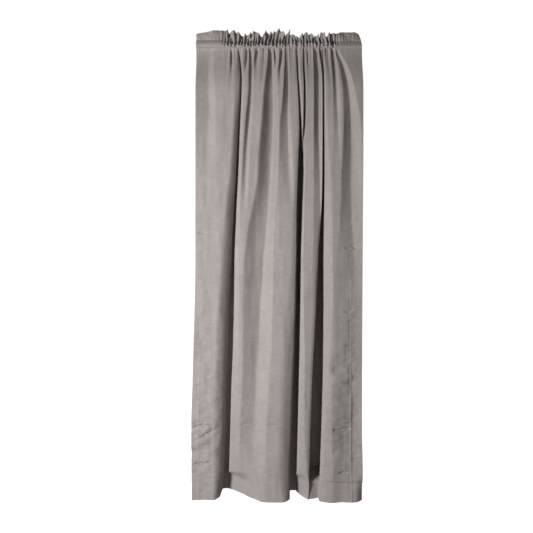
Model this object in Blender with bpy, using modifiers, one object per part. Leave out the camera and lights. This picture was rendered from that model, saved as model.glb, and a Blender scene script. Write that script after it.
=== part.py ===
"""A rod-pocket room curtain panel, hung and gathered: four stretches of cloth that draw apart along the rod.

Metres, +Z up. The curtain rod's axis is the X axis and the origin is at the middle of the panel's hung
width. The front of the cloth faces -Y. Each stretch is one body: its cloth, rod pocket, heading and hems.
Where two stretches meet there is a deep fold, and the cloth of one laps behind the other so that they can
slide past each other.
"""

import bmesh
import bpy

# Cloth and thread
CLOTH = 0.0012  # thickness of one layer
LAYER_GAP = 0.0004  # between two layers that lie on each other
THREAD = 0.0005  # thickness of a seam's row of stitches
THREAD_HEIGHT = 0.0012

# The whole panel as it hangs
HUNG_WIDTH = 0.747
LEFT_FLARE = 0.022  # how far the left edge swings out at the bottom
DROP = 2.072  # rod axis to bottom edge

# Heading and rod pocket
HEADING = 0.040  # ruffle above the pocket
POCKET_HEIGHT = 0.036  # clear height round the rod
POCKET_DEPTH = 0.027  # clear depth round the rod
SEAM_LIP = 0.005  # where front and back layer are sewn together, above and below the rod

# Hems
BOTTOM_HEM = 0.085
LEFT_SIDE_HEM = 0.030
RIGHT_SIDE_HEM = 0.050
HEM_THREAD_INSET = 0.006  # the side seams run this far inside the hem's edge

# How the stretches overlap and how far the folds reach
LAP = 0.056  # cloth that runs on behind the next stretch
DRAW_CLEARANCE = 0.010  # seams stop this short of a fold that can close over them
FRONT_AT_SEAM = -0.004
FRONT_SWELL = 0.036  # the fronts come forward by this much below the pocket
FRONT_SWELL_OVER = 0.20
FLOOR_AT_SEAM = 0.006
FLOOR_SWELL = 0.079  # the deep folds go back by this much
FLOOR_SWELL_OVER = 0.90
DEEPEST_SOFT_FOLD = 0.6  # of the way from the fronts to the bottoms of the deep folds

# The rows of the cloth below the pocket, as distances below its lower seam
DRAPE_ROWS = (0.02, 0.05, 0.09, 0.15, 0.25, 0.40, 0.60, 0.85, 1.15, 1.50)
COLUMN_PITCH = 0.011

# Sizes that follow from the ones above
LAYER_PITCH = CLOTH + LAYER_GAP
SEAM_Z = POCKET_HEIGHT / 2 + SEAM_LIP
DRAPE_TOP = -SEAM_Z - LAYER_GAP
BOTTOM = -DROP
HEM_TOP = BOTTOM + BOTTOM_HEM
HEM_SEAM = HEM_TOP - HEM_THREAD_INSET
ON_THE_FACE = -(CLOTH / 2 + LAYER_GAP + THREAD / 2)
LEFT_EDGE = -HUNG_WIDTH / 2
RIGHT_EDGE = HUNG_WIDTH / 2

FABRIC = (0.38, 0.34, 0.325, 1.0)
HEM_FABRIC = (0.36, 0.32, 0.305, 1.0)
SEWING_THREAD = (0.46, 0.42, 0.405, 1.0)

# A deep fold: where its middle is at the pocket, half way down and at the hem, and how wide it is there
DEEP_FOLDS = {
    "left": {"x": (-0.180, -0.205, -0.246), "width": (0.009, 0.017, 0.029)},
    "middle": {"x": (0.082, 0.094, 0.064), "width": (0.009, 0.021, 0.026)},
    "right": {"x": (0.199, 0.189, 0.166), "width": (0.009, 0.018, 0.047)},
}

# A soft fold: its middle at the pocket and where it ends, its half width, its depth there as a share, its length
SOFT_FOLDS = (
    {"x": (LEFT_EDGE + 0.026, LEFT_EDGE + 0.022), "half": 0.026, "depth": 0.20, "length": 0.60},
    {"x": (-0.206, -0.214), "half": 0.013, "depth": 0.40, "length": 0.30},
    {"x": (-0.124, -0.165), "half": 0.012, "depth": 0.40, "length": 0.95},
    {"x": (-0.036, -0.130), "half": 0.024, "depth": 0.60, "length": 1.95},
    {"x": (0.042, 0.010), "half": 0.016, "depth": 0.45, "length": 0.55},
    {"x": (0.140, 0.130), "half": 0.012, "depth": 0.25, "length": 0.50},
    {"x": (RIGHT_EDGE - 0.118, RIGHT_EDGE - 0.095), "half": 0.014, "depth": 0.30, "length": 0.35},
    {"x": (RIGHT_EDGE - 0.082, RIGHT_EDGE - 0.080), "half": 0.014, "depth": 0.40, "length": 0.90},
)


def eased(share):
    """A smooth step from 0 to 1."""
    share = min(1.0, max(0.0, share))
    return share * share * (3 - 2 * share)


def below_seam(z):
    return DRAPE_TOP - z


def down(z):
    """How far down the drape a height is, from 0 at the pocket to 1 at the bottom edge."""
    return below_seam(z) / (DRAPE_TOP - BOTTOM)


def through(share, values):
    """A parabola through three values, at 0, a half and 1."""
    first, middle, last = values
    return first + share * (4 * middle - 3 * first - last) + share * share * (2 * first + 2 * last - 4 * middle)


def front_plane(z):
    return FRONT_AT_SEAM - FRONT_SWELL * eased(below_seam(z) / FRONT_SWELL_OVER)


def fold_floor(z):
    return FLOOR_AT_SEAM + FLOOR_SWELL * eased(below_seam(z) / FLOOR_SWELL_OVER)


def front(x, z):
    """The cloth's depth on the front of a stretch, with its soft folds."""
    share = 0.0
    for fold in SOFT_FOLDS:
        faded = 1 - below_seam(z) / fold["length"]
        if faded <= 0:
            continue
        start, end = fold["x"]
        middle = end + (start - end) * faded
        reach = abs(x - middle) / fold["half"]
        share += fold["depth"] * eased(faded) * eased(1 - reach / 2)
    return front_plane(z) + min(share, DEEPEST_SOFT_FOLD) * (fold_floor(z) - front_plane(z))


def layer(x, z, inset):
    """The depth of a layer that lies on the back of the cloth (or on its front, with a negative inset)."""
    step = 0.0005
    slope = (front(x + step, z) - front(x - step, z)) / (2 * step)
    return front(x, z) + inset * (1 + slope * slope) ** 0.5


def deep_fold_side(name, z, side):
    """Where a deep fold's left (-1) or right (+1) wall is at a height."""
    fold = DEEP_FOLDS[name]
    return through(down(z), fold["x"]) + side * through(down(z), fold["width"]) / 2


# The four stretches, from left to right. The inner ones lap behind the outer ones at each deep fold.
STRETCHES = {
    "left_panel": {"left": None, "right": "left", "inner": True},
    "wide_fold": {"left": "left", "right": "middle", "inner": False},
    "narrow_fold": {"left": "middle", "right": "right", "inner": True},
    "right_panel": {"left": "right", "right": None, "inner": False},
}


def left_end(stretch, z):
    name = STRETCHES[stretch]["left"]
    return LEFT_EDGE - LEFT_FLARE * down(z) if name is None else deep_fold_side(name, z, 1)


def right_end(stretch, z):
    name = STRETCHES[stretch]["right"]
    return RIGHT_EDGE if name is None else deep_fold_side(name, z, -1)


def evenly(start, end, steps):
    return [start + (end - start) * i / steps for i in range(steps + 1)]


def front_columns(stretch, z, inset):
    """The places across a stretch's front. A side hem has columns at its two edges and at its seam."""
    kind = STRETCHES[stretch]
    start = left_end(stretch, z) + (inset if kind["left"] else 0)
    end = right_end(stretch, z) - (inset if kind["right"] else 0)
    before = [] if kind["left"] else [start, start + LEFT_SIDE_HEM - HEM_THREAD_INSET]
    after = [] if kind["right"] else [end - RIGHT_SIDE_HEM + HEM_THREAD_INSET, end]
    start += 0 if kind["left"] else LEFT_SIDE_HEM
    end -= 0 if kind["right"] else RIGHT_SIDE_HEM
    widest = right_end(stretch, DRAPE_TOP) - left_end(stretch, DRAPE_TOP)
    return before + evenly(start, end, round(widest / COLUMN_PITCH)) + after


def wall(x, z, stretch, inset, outward):
    """A deep fold's wall, from the front to its back end. An inner stretch runs on along the fold's floor."""
    floor = fold_floor(z) + inset
    if not STRETCHES[stretch]["inner"]:
        floor = fold_floor(z) - CLOTH / 2 - LAYER_GAP
    depths = evenly(layer(x, z, inset), floor, 3)[1:]
    points = [(x, y) for y in depths]
    if STRETCHES[stretch]["inner"]:
        fold = STRETCHES[stretch]["right" if outward > 0 else "left"]
        points.append((deep_fold_side(fold, z, outward) + outward * LAP, floor))
    return points


def outline(stretch, z, inset=0.0, front_only=False):
    """The cloth's line from left to right, seen from above. A positive inset is a layer behind the face."""
    columns = front_columns(stretch, z, inset)
    points = [(x, layer(x, z, inset)) for x in columns]
    if front_only:
        return points
    if STRETCHES[stretch]["left"]:
        points = wall(columns[0], z, stretch, inset, -1)[::-1] + points
    if STRETCHES[stretch]["right"]:
        points += wall(columns[-1], z, stretch, inset, 1)
    return points


def paint(obj, colour):
    material = bpy.data.materials.new(obj.name)
    material.use_nodes = True
    shader = material.node_tree.nodes["Principled BSDF"]
    shader.inputs["Base Color"].default_value = colour
    shader.inputs["Roughness"].default_value = 0.92
    shader.inputs["Metallic"].default_value = 0.0
    obj.data.materials.append(material)


def cloth_sheet(name, rows, colour, thickness=CLOTH):
    """A sheet of cloth through rows of points, given its thickness by Solidify on both sides of them."""
    mesh = bpy.data.meshes.new(name)
    bm = bmesh.new()
    across, along = len(rows[0]) - 1, len(rows) - 1
    bmesh.ops.create_grid(bm, x_segments=across, y_segments=along, size=1)
    placed = sorted(bm.verts, key=lambda v: (round(v.co.y, 5), round(v.co.x, 5)))
    flat_rows = [point for row in rows for point in row]
    for vert, point in zip(placed, flat_rows):
        vert.co = point
    bmesh.ops.recalc_face_normals(bm, faces=bm.faces)
    bm.to_mesh(mesh)
    bm.free()
    obj = bpy.data.objects.new(name, mesh)
    solid = obj.modifiers.new("thickness", "SOLIDIFY")
    solid.thickness = thickness
    solid.offset = 0
    solid.use_even_offset = True
    paint(obj, colour)
    PANEL.objects.link(obj)
    return obj


def hung_rows(stretch, heights, inset=0.0, front_only=False):
    return [[(x, y, z) for x, y in outline(stretch, z, inset, front_only)] for z in heights]


def drape_heights():
    """From the bottom edge up: the bottom hem's edges and seam, and the drape's rows above them."""
    above = [DRAPE_TOP - row for row in DRAPE_ROWS if DRAPE_TOP - row > HEM_TOP + BOTTOM_HEM / 2]
    return [BOTTOM, HEM_SEAM, HEM_TOP] + sorted(above) + [DRAPE_TOP]


def straight_reach(stretch, shorter=0.0):
    """Where the pocket and heading of a stretch start and end: an inner one laps into its neighbours."""
    kind = STRETCHES[stretch]
    lap = LAP if kind["inner"] and not shorter else 0.0
    start, end = left_end(stretch, DRAPE_TOP), right_end(stretch, DRAPE_TOP)
    if kind["left"]:
        start = deep_fold_side(kind["left"], DRAPE_TOP, -1) - lap if lap else start + shorter
    if kind["right"]:
        end = deep_fold_side(kind["right"], DRAPE_TOP, 1) + lap if lap else end - shorter
    return start, end


def layer_depth(stretch):
    """How far the heading's layers lie from the middle plane. An outer stretch takes an inner one between them."""
    return LAYER_PITCH / 2 + (0 if STRETCHES[stretch]["inner"] else LAYER_PITCH)


def pocket_section(stretch):
    """The front wall of the pocket from below the rod to above it, as depth and height, without its sign."""
    grown = 0 if STRETCHES[stretch]["inner"] else LAYER_PITCH
    lip = layer_depth(stretch)
    depth = POCKET_DEPTH / 2 + CLOTH / 2 + grown
    height = POCKET_HEIGHT / 2 + CLOTH / 2 + grown
    steps = 8
    bow = []
    for i in range(1, steps):
        share = 2 * i / steps - 1
        bow.append((lip + (depth - lip) * (1 - share * share) ** 0.5, height * share))
    return [(lip, -SEAM_Z), (lip, -height)] + bow + [(lip, height), (lip, SEAM_Z)]


def straight_strip(name, stretch, section, side, colour, shorter=0.0, thickness=CLOTH):
    """A strip of one section along the rod, in front of it (side -1) or behind it (side 1)."""
    start, end = straight_reach(stretch, shorter)
    rows = [[(x, side * y, z) for y, z in section] for x in (start, end)]
    return cloth_sheet(name, rows, colour, thickness)


def build_heading(stretch):
    """The rod pocket's two walls, and the two layers of the ruffle that stands above it."""
    depth = layer_depth(stretch)
    heading = [(depth, SEAM_Z + LAYER_GAP), (depth, SEAM_Z + HEADING)]
    for side, word in ((-1, "front"), (1, "back")):
        straight_strip(f"pocket_{word}_{stretch}", stretch, pocket_section(stretch), side, FABRIC)
        straight_strip(f"heading_{word}_{stretch}", stretch, heading, side, FABRIC)


def build_heading_seams(stretch):
    """The two rows of stitches that make the pocket, on the front of the cloth above and below the rod."""
    depth = layer_depth(stretch) + CLOTH / 2 + LAYER_GAP + THREAD / 2
    upper = SEAM_Z + LAYER_GAP + THREAD_HEIGHT
    lower = -SEAM_Z + LAYER_GAP
    for word, z in (("heading", upper), ("pocket", lower)):
        section = [(depth, z), (depth, z + THREAD_HEIGHT)]
        name = f"{word}_seam_{stretch}"
        straight_strip(name, stretch, section, -1, SEWING_THREAD, DRAW_CLEARANCE, THREAD)


def build_drape(stretch):
    """The cloth below the pocket, its turned-up bottom hem, and the hem's row of stitches."""
    cloth_sheet(f"drape_{stretch}", hung_rows(stretch, drape_heights()), FABRIC)
    hem = hung_rows(stretch, (BOTTOM, HEM_SEAM, HEM_TOP), LAYER_PITCH)
    cloth_sheet(f"bottom_hem_{stretch}", hem, HEM_FABRIC)
    seam = hung_rows(stretch, (HEM_SEAM, HEM_SEAM + THREAD_HEIGHT), ON_THE_FACE, True)
    cloth_sheet(f"hem_seam_{stretch}", seam, SEWING_THREAD, THREAD)


def build_side_hem(name, stretch, at_left):
    """A side hem turned to the back, from the bottom hem up to the pocket, and its row of stitches."""
    heights = drape_heights()[2:]
    heights[0] += LAYER_GAP
    edge = slice(0, 3) if at_left else slice(-3, None)
    hem, seam = [], []
    for z in heights:
        hem.append([(x, y, z) for x, y in outline(stretch, z, LAYER_PITCH, True)[edge]])
        line = [(x, y, z) for x, y in outline(stretch, z, ON_THE_FACE, True)[edge]]
        sewn, inner = line[1], line[2 if at_left else 0]
        share = THREAD_HEIGHT / HEM_THREAD_INSET
        beside = tuple(a + (b - a) * share for a, b in zip(sewn, inner))
        seam.append([sewn, beside] if at_left else [beside, sewn])
    cloth_sheet(f"{name}_side_hem", hem, HEM_FABRIC)
    cloth_sheet(f"{name}_side_seam", seam, SEWING_THREAD, THREAD)


for old in list(bpy.data.objects):
    bpy.data.objects.remove(old, do_unlink=True)
PANEL = bpy.data.collections.new("curtain_panel")
bpy.context.scene.collection.children.link(PANEL)

for stretch_name in STRETCHES:
    build_heading(stretch_name)
    build_heading_seams(stretch_name)
    build_drape(stretch_name)
build_side_hem("left", "left_panel", at_left=True)
build_side_hem("right", "right_panel", at_left=False)
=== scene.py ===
"""The looks of a room curtain panel that hangs gathered on its rod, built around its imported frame.

Metres, +Z up. The rod runs along X through the origin and the room is on the -Y side. A height is mostly
given as a drop, the distance below the rod, and a place across the cloth as x at that drop.
"""

import math

import bmesh
import bpy
import mathutils
import numpy as np
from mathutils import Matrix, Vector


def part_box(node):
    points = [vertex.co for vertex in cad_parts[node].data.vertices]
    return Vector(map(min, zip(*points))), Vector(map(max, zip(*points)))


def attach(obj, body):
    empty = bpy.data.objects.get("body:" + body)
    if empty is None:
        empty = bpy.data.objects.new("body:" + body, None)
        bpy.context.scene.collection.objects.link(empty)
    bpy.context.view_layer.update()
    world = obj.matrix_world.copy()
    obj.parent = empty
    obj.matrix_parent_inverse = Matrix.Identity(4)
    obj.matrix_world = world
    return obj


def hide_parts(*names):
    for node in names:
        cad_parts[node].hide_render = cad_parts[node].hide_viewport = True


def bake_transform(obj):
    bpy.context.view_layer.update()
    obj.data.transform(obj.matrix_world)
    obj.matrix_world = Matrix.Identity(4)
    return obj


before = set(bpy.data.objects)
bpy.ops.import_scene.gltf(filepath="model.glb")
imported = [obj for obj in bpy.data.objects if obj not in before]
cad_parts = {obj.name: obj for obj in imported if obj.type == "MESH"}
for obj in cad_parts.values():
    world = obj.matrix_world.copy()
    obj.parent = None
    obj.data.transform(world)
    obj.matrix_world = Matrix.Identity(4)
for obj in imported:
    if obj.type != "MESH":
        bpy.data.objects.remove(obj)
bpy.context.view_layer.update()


# ---- The face cloth ------------------------------------------------------------------------------
# One length of unlined linen-look polyester, 1.27 m wide, sewn to the rod pocket along its top and
# hanging in three deep folds and a number of softer ones. It is in three pieces, which meet along the
# crowns of the wide and the narrow fold, each across one deep fold.

CLOTH_THICKNESS = 0.0009
FLAT_WIDTH = 1.27
# The side edges stand a little outside the frame's
HUNG_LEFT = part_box("heading_front_left_panel")[0].x - 0.0035
HUNG_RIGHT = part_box("heading_front_right_panel")[1].x + 0.006
SEAMS_DRAWN_IN = 0.005  # how much nearer the rod both pocket seams are where the pull crushes the pocket
POCKET_FOOT = -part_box("drape_wide_fold")[1].z - SEAMS_DRAWN_IN
HEM_EDGE = -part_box("drape_wide_fold")[0].z
FACE_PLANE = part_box("drape_wide_fold")[0].y
SEAM_PLANE = -0.0016  # where the face is sewn to the back of the pocket

# The deep folds: drop, middle, mouth, shoulder on the left, depth, flank on the right, the flank's share
LEFT_FOLD = (
    (0.03, -0.184, 0.003, 0.030, 0.016, 0.010, 0.30),
    (0.09, -0.177, 0.004, 0.034, 0.034, 0.010, 0.30),
    (0.16, -0.171, 0.004, 0.034, 0.038, 0.010, 0.28),
    (0.25, -0.174, 0.005, 0.026, 0.046, 0.012, 0.25),
    (0.40, -0.183, 0.007, 0.024, 0.078, 0.015, 0.20),
    (0.50, -0.187, 0.008, 0.026, 0.086, 0.015, 0.20),
    (0.63, -0.193, 0.009, 0.030, 0.094, 0.016, 0.18),
    (0.74, -0.201, 0.013, 0.036, 0.100, 0.018, 0.16),
    (0.96, -0.212, 0.015, 0.044, 0.107, 0.022, 0.15),
    (1.19, -0.221, 0.027, 0.046, 0.111, 0.028, 0.14),
    (1.41, -0.226, 0.027, 0.050, 0.112, 0.030, 0.07),
    (1.54, -0.232, 0.027, 0.052, 0.112, 0.034, 0.05),
    (1.77, -0.238, 0.027, 0.052, 0.112, 0.050, 0.04),
    (1.95, -0.243, 0.026, 0.042, 0.116, 0.120, 0.10),
    (2.07, -0.254, 0.026, 0.034, 0.116, 0.160, 0.40),
)
MIDDLE_FOLD = (
    (0.03, 0.083, 0.002, 0.008, 0.014, 0.008, 0.30),
    (0.16, 0.085, 0.002, 0.012, 0.030, 0.010, 0.30),
    (0.30, 0.093, 0.003, 0.014, 0.052, 0.010, 0.25),
    (0.42, 0.098, 0.006, 0.016, 0.074, 0.010, 0.20),
    (0.50, 0.099, 0.016, 0.016, 0.088, 0.012, 0.16),
    (0.59, 0.098, 0.020, 0.016, 0.096, 0.012, 0.12),
    (0.74, 0.093, 0.020, 0.020, 0.105, 0.012, 0.12),
    (0.96, 0.089, 0.014, 0.030, 0.110, 0.014, 0.12),
    (1.19, 0.086, 0.015, 0.044, 0.112, 0.018, 0.15),
    (1.41, 0.081, 0.018, 0.054, 0.114, 0.026, 0.18),
    (1.77, 0.070, 0.022, 0.066, 0.112, 0.034, 0.14),
    (1.95, 0.064, 0.027, 0.060, 0.108, 0.050, 0.20),
    (2.07, 0.067, 0.030, 0.036, 0.100, 0.062, 0.40),
)
RIGHT_FOLD = (
    (0.03, 0.199, 0.002, 0.006, 0.010, 0.008, 0.30),
    (0.30, 0.200, 0.002, 0.008, 0.040, 0.010, 0.30),
    (0.63, 0.200, 0.005, 0.010, 0.078, 0.030, 0.14),
    (0.76, 0.198, 0.007, 0.012, 0.092, 0.034, 0.17),
    (0.85, 0.194, 0.012, 0.014, 0.098, 0.040, 0.18),
    (0.96, 0.190, 0.018, 0.016, 0.104, 0.042, 0.18),
    (1.08, 0.187, 0.024, 0.018, 0.108, 0.042, 0.17),
    (1.19, 0.185, 0.029, 0.018, 0.111, 0.042, 0.16),
    (1.41, 0.178, 0.038, 0.018, 0.113, 0.032, 0.13),
    (1.54, 0.174, 0.042, 0.018, 0.114, 0.026, 0.10),
    (1.77, 0.166, 0.044, 0.018, 0.113, 0.018, 0.10),
    (2.07, 0.156, 0.041, 0.018, 0.110, 0.012, 0.10),
)
# How much of a fold's depth its shoulder takes, by drop, and how far its right wall leans away behind its lip
SHOULDER_SHARE = {
    "left": ((0.0, 0.30), (0.9, 0.29), (1.3, 0.29), (2.1, 0.30)),
    "middle": ((0.0, 0.05), (0.9, 0.06), (1.8, 0.28), (2.1, 0.28)),
    "right": ((0.0, 0.05), (2.1, 0.05)),
}
WALL_LEANS = {"left": 0.06, "middle": 0.16, "right": 0.22}
# Near the bottom edge the doubled cloth is stiffer and opens the deep folds: the drop where that starts,
# the drop that it takes, and what the flank's share and the depth become
HEM_OPENS = {
    "left": (1.945, 0.064, 0.96, 1.0),
    "middle": (1.950, 0.052, 0.96, 1.0),
    "right": (1.974, 0.022, 0.1, 0.14),
}

# The softer folds: drop, bottom, reach on the left, reach on the right, depth, and how far the left side is a
# flat facet (1) or a round valley (0)
SOFT_FOLDS = (
    ((0.02, -0.214, 0.008, 0.006, 0.010, 0), (0.07, -0.213, 0.009, 0.007, 0.012, 0),
     (0.16, -0.214, 0.010, 0.008, 0.000, 0)),
    ((0.02, -0.128, 0.009, 0.006, 0.007, 0.4), (0.09, -0.123, 0.013, 0.008, 0.014, 0.4),
     (0.23, -0.123, 0.014, 0.010, 0.018, 0.4), (0.36, -0.135, 0.016, 0.012, 0.019, 0.4),
     (0.50, -0.145, 0.017, 0.014, 0.012, 0.4), (0.63, -0.152, 0.018, 0.016, 0.008, 0.4),
     (0.80, -0.162, 0.018, 0.018, 0.000, 0.4)),
    ((0.02, -0.033, 0.013, 0.006, 0.011, 0.1), (0.09, -0.029, 0.022, 0.010, 0.023, 0.1),
     (0.23, -0.026, 0.046, 0.018, 0.038, 0.1), (0.36, -0.026, 0.054, 0.026, 0.046, 0.1),
     (0.50, -0.034, 0.060, 0.032, 0.048, 0.1), (0.63, -0.042, 0.058, 0.034, 0.046, 0.2),
     (0.74, -0.050, 0.070, 0.034, 0.045, 0.3), (0.85, -0.060, 0.082, 0.038, 0.043, 0.7),
     (0.96, -0.069, 0.086, 0.042, 0.041, 0.9), (1.08, -0.076, 0.086, 0.050, 0.041, 0.9),
     (1.19, -0.084, 0.080, 0.056, 0.038, 0.9), (1.41, -0.094, 0.070, 0.060, 0.033, 0.8),
     (1.54, -0.102, 0.066, 0.060, 0.026, 0.7), (1.77, -0.115, 0.060, 0.060, 0.017, 0.6),
     (1.95, -0.124, 0.056, 0.060, 0.005, 0.6)),
    ((0.03, -0.325, 0.045, 0.030, 0.003, 0.8), (0.12, -0.322, 0.050, 0.030, 0.009, 0.8),
     (0.28, -0.318, 0.055, 0.035, 0.016, 0.8), (0.45, -0.324, 0.055, 0.040, 0.010, 0.8),
     (0.62, -0.330, 0.050, 0.045, 0.000, 0.8)),
    ((0.02, 0.039, 0.010, 0.004, 0.003, 0.7), (0.09, 0.043, 0.017, 0.005, 0.012, 0.7),
     (0.23, 0.042, 0.024, 0.006, 0.030, 0.7), (0.30, 0.041, 0.030, 0.008, 0.028, 0.7),
     (0.36, 0.040, 0.038, 0.012, 0.024, 0.7), (0.50, 0.042, 0.043, 0.018, 0.016, 0.7),
     (0.63, 0.044, 0.045, 0.024, 0.008, 0.7), (0.75, 0.045, 0.048, 0.026, 0.000, 0.7)),
    ((0.02, 0.116, 0.005, 0.003, 0.008, 0), (0.10, 0.115, 0.006, 0.004, 0.022, 0),
     (0.28, 0.118, 0.007, 0.005, 0.034, 0), (0.38, 0.116, 0.008, 0.005, 0.036, 0),
     (0.46, 0.110, 0.009, 0.006, 0.018, 0), (0.54, 0.106, 0.009, 0.006, 0.000, 0)),
    ((0.02, 0.172, 0.016, 0.006, 0.013, 0.8), (0.09, 0.180, 0.024, 0.008, 0.023, 0.8),
     (0.23, 0.181, 0.026, 0.010, 0.028, 0.8), (0.36, 0.181, 0.026, 0.011, 0.025, 0.8),
     (0.50, 0.182, 0.028, 0.012, 0.016, 0.8), (0.63, 0.184, 0.030, 0.012, 0.011, 0.8),
     (0.85, 0.186, 0.030, 0.010, 0.009, 0.8), (1.08, 0.176, 0.030, 0.010, 0.007, 0.8),
     (1.30, 0.170, 0.024, 0.010, 0.000, 0.8)),
    ((0.02, 0.248, 0.011, 0.006, 0.010, 0.4), (0.09, 0.256, 0.018, 0.010, 0.014, 0.4),
     (0.23, 0.260, 0.020, 0.012, 0.011, 0.4), (0.36, 0.262, 0.020, 0.014, 0.005, 0.4),
     (0.55, 0.262, 0.020, 0.016, 0.000, 0.4)),
    ((0.02, 0.262, 0.012, 0.008, 0.004, 0.9), (0.09, 0.292, 0.020, 0.014, 0.012, 0.9),
     (0.16, 0.306, 0.028, 0.020, 0.018, 0.9), (0.23, 0.317, 0.032, 0.024, 0.020, 0.9),
     (0.36, 0.326, 0.038, 0.040, 0.026, 0.8), (0.50, 0.327, 0.044, 0.050, 0.026, 0.7),
     (0.63, 0.324, 0.046, 0.064, 0.023, 0.6), (0.85, 0.332, 0.062, 0.085, 0.018, 0.7),
     (0.96, 0.338, 0.080, 0.095, 0.016, 0.8), (1.08, 0.342, 0.094, 0.100, 0.016, 0.8),
     (1.19, 0.344, 0.108, 0.100, 0.017, 0.8), (1.41, 0.345, 0.120, 0.100, 0.020, 0.8),
     (1.54, 0.340, 0.114, 0.095, 0.023, 0.8), (1.77, 0.336, 0.106, 0.090, 0.030, 0.8),
     (1.90, 0.330, 0.092, 0.080, 0.016, 0.8), (2.03, 0.324, 0.070, 0.070, 0.000, 0.8)),
    ((1.955, 0.180, 0.045, 0.006, 0.000, 1), (1.985, 0.178, 0.045, 0.006, 0.011, 1),
     (2.070, 0.176, 0.043, 0.006, 0.010, 1)),
    ((0.02, -0.145, 0.007, 0.007, 0.008, 0), (0.07, -0.146, 0.008, 0.008, 0.012, 0),
     (0.14, -0.147, 0.009, 0.009, 0.000, 0)),
    ((0.02, -0.096, 0.008, 0.008, 0.010, 0), (0.06, -0.100, 0.011, 0.011, 0.012, 0),
     (0.13, -0.106, 0.013, 0.013, 0.000, 0)),
    ((0.02, -0.018, 0.006, 0.006, 0.009, 0), (0.07, -0.016, 0.007, 0.007, 0.014, 0),
     (0.13, -0.014, 0.008, 0.008, 0.000, 0)),
    ((0.02, 0.016, 0.007, 0.005, 0.008, 0), (0.07, 0.011, 0.010, 0.006, 0.014, 0),
     (0.17, 0.002, 0.012, 0.008, 0.000, 0)),
    ((0.02, 0.131, 0.004, 0.004, 0.010, 0), (0.06, 0.132, 0.005, 0.004, 0.012, 0),
     (0.11, 0.133, 0.005, 0.005, 0.000, 0)),
    ((0.02, 0.190, 0.006, 0.004, 0.010, 0), (0.08, 0.197, 0.007, 0.005, 0.014, 0),
     (0.16, 0.206, 0.008, 0.006, 0.000, 0)),
)
# How far the cloth lies behind its face plane between the folds, as x and depth, at the pocket and the hem
LIE_AT_POCKET = ((-0.40, 0.006), (-0.30, 0.004), (-0.10, 0.0), (0.25, 0.0), (0.40, 0.001))
LIE_AT_HEM = ((-0.40, 0.020), (-0.30, 0.026), (-0.22, 0.022), (-0.06, 0.004), (0.02, 0.002), (0.10, 0.006),
              (0.18, 0.014), (0.24, 0.001), (0.335, 0.005), (0.38, 0.003))
# How far each side edge, and each crown where two pieces meet, is across the cloth at each drop
LEFT_SIDE = ((0.0, 0.0), (0.15, 0.004), (1.00, 0.002), (1.16, -0.001), (1.34, -0.007), (1.52, -0.012),
             (1.70, -0.018), (1.88, -0.017), (2.10, -0.017))
RIGHT_SIDE = ((0.0, 0.0), (0.15, -0.003), (2.10, -0.004))
WIDE_CROWN = ((0.0, -0.006), (0.3, -0.002), (0.6, -0.004), (1.2, -0.010), (2.1, -0.020))
NARROW_CROWN = ((0.0, 0.128), (0.3, 0.132), (0.6, 0.134), (1.0, 0.128), (1.5, 0.118), (1.9, 0.112),
                (2.1, 0.130))

# Creases from the packing: drop, from, to, height
CREASES = ((0.865, -0.372, -0.318, 0.0039), (0.930, 0.290, 0.362, 0.0045), (1.215, 0.285, 0.345, 0.0045),
           (1.262, 0.300, 0.352, 0.0039), (1.368, -0.385, -0.335, 0.0042), (1.372, 0.296, 0.352, 0.0039),
           (1.728, -0.180, 0.022, 0.0024), (1.738, -0.388, -0.290, 0.0078), (1.752, 0.236, 0.336, 0.0105),
           (1.775, -0.370, -0.300, 0.0060), (1.910, -0.392, -0.300, 0.0087), (1.944, 0.262, 0.326, 0.0090))

LEVELS = np.linspace(0, 2.15, 431)  # every 5 mm down the panel
ROUNDED_OVER = 15  # levels over which the stations' corners are rounded
FINE_POINTS = 1601  # across the cloth, before the mesh's columns are spaced along it

# How far each kind of unevenness stands in and out
FINE_GATHERS = 0.0042
BROAD_GATHERS = 0.0045
SLOW_DRIFT = 0.0035
QUICK_DRIFT = 0.0009
WRINKLES = 0.0058
SIDE_PUCKER = 0.0015
SIDE_HEM_LINE = 0.0018
CORNER_CURL = 0.018


def eased(share):
    share = np.clip(share, 0, 1)
    return share * share * (3 - 2 * share)


def follow(drop, stations):
    """What a short list of stations gives at each drop, with the corners between them rounded."""
    table = np.array(stations, float)
    window = np.hanning(ROUNDED_OVER + 2)[1:-1]
    window /= window.sum()
    found = []
    for column in table[:, 1:].T:
        broken = np.interp(LEVELS, table[:, 0], column)
        padded = np.pad(broken, ROUNDED_OVER // 2, mode="edge")
        found.append(np.interp(drop, LEVELS, np.convolve(padded, window, "valid")))
    return found


def at_x(x, points):
    """What a short list of places across the cloth gives at each x."""
    return np.interp(x, *np.array(points).T)


def drift(across, down, seed):
    """Smooth unevenness from -1 to 1 over two directions, one change a unit."""
    lattice = np.random.default_rng(seed).uniform(-1, 1, (97, 89))
    across, down = np.broadcast_arrays(np.asarray(across, float) + 500, np.asarray(down, float) + 500)
    i, j = np.floor(across).astype(int), np.floor(down).astype(int)
    u, v = eased(across - i), eased(down - j)
    i0, i1, j0, j1 = i % 97, (i + 1) % 97, j % 89, (j + 1) % 89
    low = lattice[i0, j0] * (1 - u) + lattice[i1, j0] * u
    high = lattice[i0, j1] * (1 - u) + lattice[i1, j1] * u
    return low * (1 - v) + high * v


def gathers(x, drop, pitch, seed):
    """Uneven little pleats side by side, from -1 to 1, that wander slightly on their way down."""
    phase = 2 * np.pi * x / pitch + 2.6 * drift(x / (2.2 * pitch), drop / 0.25, seed)
    return np.sin(phase) * (0.72 + 0.28 * drift(x / (1.7 * pitch), drop / 0.3, seed + 1))


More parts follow.
